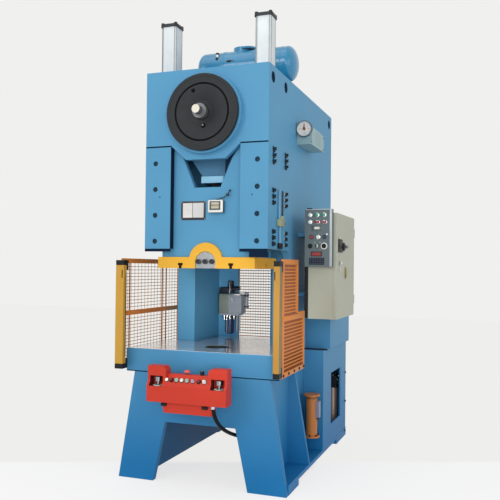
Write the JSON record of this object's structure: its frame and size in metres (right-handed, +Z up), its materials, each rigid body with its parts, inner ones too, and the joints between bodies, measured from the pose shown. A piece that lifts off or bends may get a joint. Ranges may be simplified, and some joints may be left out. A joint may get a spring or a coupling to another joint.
{
  "type": "mechanical stamping press",
  "caption": "Open-front C-frame crank press with slide, bolster, balancers, two-hand control, light curtain, side guards and electrical cabinet.",
  "frame": {"origin": "centre of the rectangle of four floor anchor holes, at floor level", "axes": "+Z up; the operator's side faces -Y; +X is to the right of someone who stands in front of the press and faces it"},
  "size_m": [1.2765, 1.838, 2.876],
  "materials": {
    "frame_blue": "semi-gloss light blue machine enamel",
    "guard_orange": "satin orange-brown enamel",
    "safety_yellow": "gloss yellow enamel",
    "safety_red": "gloss red enamel",
    "light_blue": "gloss light blue enamel",
    "cover_dark": "gloss black enamel",
    "cabinet_beige": "textured beige-grey powder coat",
    "pale_grey": "gloss light grey enamel",
    "instrument_green": "satin grey-green enamel",
    "bright_steel": "ground, thin oil film",
    "dark_steel": "black oxide",
    "cast_grey": "machined grey iron",
    "bronze": "turned bearing bronze",
    "chrome": "polished",
    "rubber_black": "matt",
    "hose_grey": "ribbed conduit",
    "black_plastic": "moulded, fine grain",
    "red_plastic": "moulded",
    "green_plastic": "moulded",
    "white_plastic": "moulded"
  },
  "bodies": {
    "frame": {"frame_side_left": "frame_blue", "frame_side_right": "frame_blue", "frame_head": "frame_blue", "frame_base": "frame_blue", "rear_housing_left": "frame_blue", "rear_housing_right": "frame_blue", "rear_cover": "frame_blue", "bearing_cover": "cover_dark", "bearing_bushes": "bronze", "motor": "light_blue", "drive_belts": "rubber_black", "gib_cover_left": "frame_blue", "gib_cover_right": "frame_blue", "slide_ways": "cast_grey", "guide_screws": "dark_steel", "bolster": "bright_steel", "balancer_tube_left": "pale_grey", "balancer_tube_right": "pale_grey", "balancer_caps": "dark_steel", "air_tank": "frame_blue", "light_curtain_left": "safety_yellow", "light_curtain_right": "safety_yellow", "curtain_brackets": "dark_steel", "guard_left": "guard_orange", "guard_right": "guard_orange", "rear_guard": "guard_orange", "control_box": "safety_red", "hose": "hose_grey", "hose_glands": "chrome", "angle_box": "instrument_green", "cabinet_body": "cabinet_beige", "control_panel": "pale_grey", "lubricator": "cast_grey", "reservoir": "guard_orange", "air_valve": "pale_grey"},
    "crank": {"crankshaft": "bright_steel", "main_gear": "cast_grey"},
    "pinion": {"pinion_shaft": "bright_steel"},
    "flywheel_body": {"flywheel": "cast_grey"},
    "motor_rotor": {"motor_pulley": "cast_grey"},
    "rod": {"connecting_rod": "frame_blue", "ball_screw": "bright_steel"},
    "ram": {"slide": "frame_blue", "slide_plate": "safety_yellow", "shank_clamp": "cast_grey", "clamp_nuts": "dark_steel", "balancer_rods": "chrome", "counter_box": "white_plastic"},
    "pointer": {"angle_pointer": "red_plastic"},
    "door": {"cabinet_door": "cabinet_beige"},
    "isolator": {"main_switch": "black_plastic"},
    "left_palm": {"palm_button_left": "chrome"},
    "right_palm": {"palm_button_right": "chrome"},
    "stop": {"stop_button": "red_plastic"},
    "mode": {"mode_knob": "black_plastic"},
    "run": {"run_button": "green_plastic"},
    "inch": {"inch_button": "white_plastic"},
    "reset": {"reset_button": "red_plastic"},
    "selector": {"panel_knob": "black_plastic"},
    "panel_push": {"panel_button": "white_plastic"}
  },
  "joints": [
    {"name": "crank_turn", "type": "hinge", "parent": "frame", "child": "crank", "pos_m": [0, -0.5385, 2.239], "axis": [0, 1, 0], "range_deg": [0, 180]},
    {"name": "slide_stroke", "type": "slide", "parent": "frame", "child": "ram", "axis": [0, 0, 1], "range_m": [-0.13, 0]},
    {"name": "rod_pivot", "type": "hinge", "parent": "crank", "child": "rod", "pos_m": [0, -0.5385, 2.304], "axis": [0, 1, 0], "range_deg": [-180, 0]},
    {"name": "pinion_turn", "type": "hinge", "parent": "frame", "child": "pinion", "pos_m": [0, -0.1435, 1.934], "axis": [0, 1, 0], "range_deg": [-552.5, 0]},
    {"name": "pointer_turn", "type": "hinge", "parent": "frame", "child": "pointer", "pos_m": [0.46, -0.1935, 2.234], "axis": [0, 1, 0], "range_deg": [0, 180.5]},
    {"name": "flywheel_turn", "type": "hinge", "parent": "frame", "child": "flywheel_body", "pos_m": [0, 0.6965, 1.934], "axis": [0, 1, 0], "continuous": true},
    {"name": "motor_turn", "type": "hinge", "parent": "frame", "child": "motor_rotor", "pos_m": [0, 0.6965, 1.5], "axis": [0, 1, 0], "continuous": true},
    {"name": "door_hinge", "type": "hinge", "parent": "frame", "child": "door", "pos_m": [0.696, 0.3205, 1.323], "axis": [0, 0, 1], "range_deg": [0, 110]},
    {"name": "isolator_turn", "type": "hinge", "parent": "door", "child": "isolator", "pos_m": [0.7, -0.0595, 1.459], "axis": [1, 0, 0], "range_deg": [0, 90]},
    {"name": "left_palm_push", "type": "slide", "parent": "frame", "child": "left_palm", "axis": [0, 0, -1], "range_m": [0, 0.008], "stiffness_N_per_m": 800, "springref_m": -0.002},
    {"name": "right_palm_push", "type": "slide", "parent": "frame", "child": "right_palm", "axis": [0, 0, -1], "range_m": [0, 0.008], "stiffness_N_per_m": 800, "springref_m": -0.002},
    {"name": "stop_push", "type": "slide", "parent": "frame", "child": "stop", "axis": [0, 0, -1], "range_m": [0, 0.006], "stiffness_N_per_m": 1500, "springref_m": -0.002},
    {"name": "mode_turn", "type": "hinge", "parent": "frame", "child": "mode", "pos_m": [0.076, -0.8835, 0.69], "axis": [0, 0, 1], "range_deg": [-45, 45]},
    {"name": "run_push", "type": "slide", "parent": "frame", "child": "run", "axis": [0, 0.818, -0.5752], "range_m": [0, 0.004], "stiffness_N_per_m": 400, "springref_m": -0.002},
    {"name": "inch_push", "type": "slide", "parent": "frame", "child": "inch", "axis": [0, 0.818, -0.5752], "range_m": [0, 0.004], "stiffness_N_per_m": 400, "springref_m": -0.002},
    {"name": "reset_push", "type": "slide", "parent": "frame", "child": "reset", "axis": [0, 0.818, -0.5752], "range_m": [0, 0.004], "stiffness_N_per_m": 400, "springref_m": -0.002},
    {"name": "selector_turn", "type": "hinge", "parent": "frame", "child": "selector", "pos_m": [0.626, -0.2935, 1.451], "axis": [0, 1, 0], "range_deg": [-45, 45]},
    {"name": "panel_push_in", "type": "slide", "parent": "frame", "child": "panel_push", "axis": [0, 1, 0], "range_m": [0, 0.004], "stiffness_N_per_m": 400, "springref_m": -0.002}
  ],
  "couplings": [
    {"joint": "slide_stroke", "follows": "crank_turn", "m_per_rad": -0.04138},
    {"joint": "rod_pivot", "follows": "crank_turn", "ratio": -1},
    {"joint": "pinion_turn", "follows": "crank_turn", "ratio": -3.0667},
    {"joint": "pointer_turn", "follows": "crank_turn", "ratio": 1},
    {"joint": "motor_turn", "follows": "flywheel_turn", "ratio": 4}
  ]
}
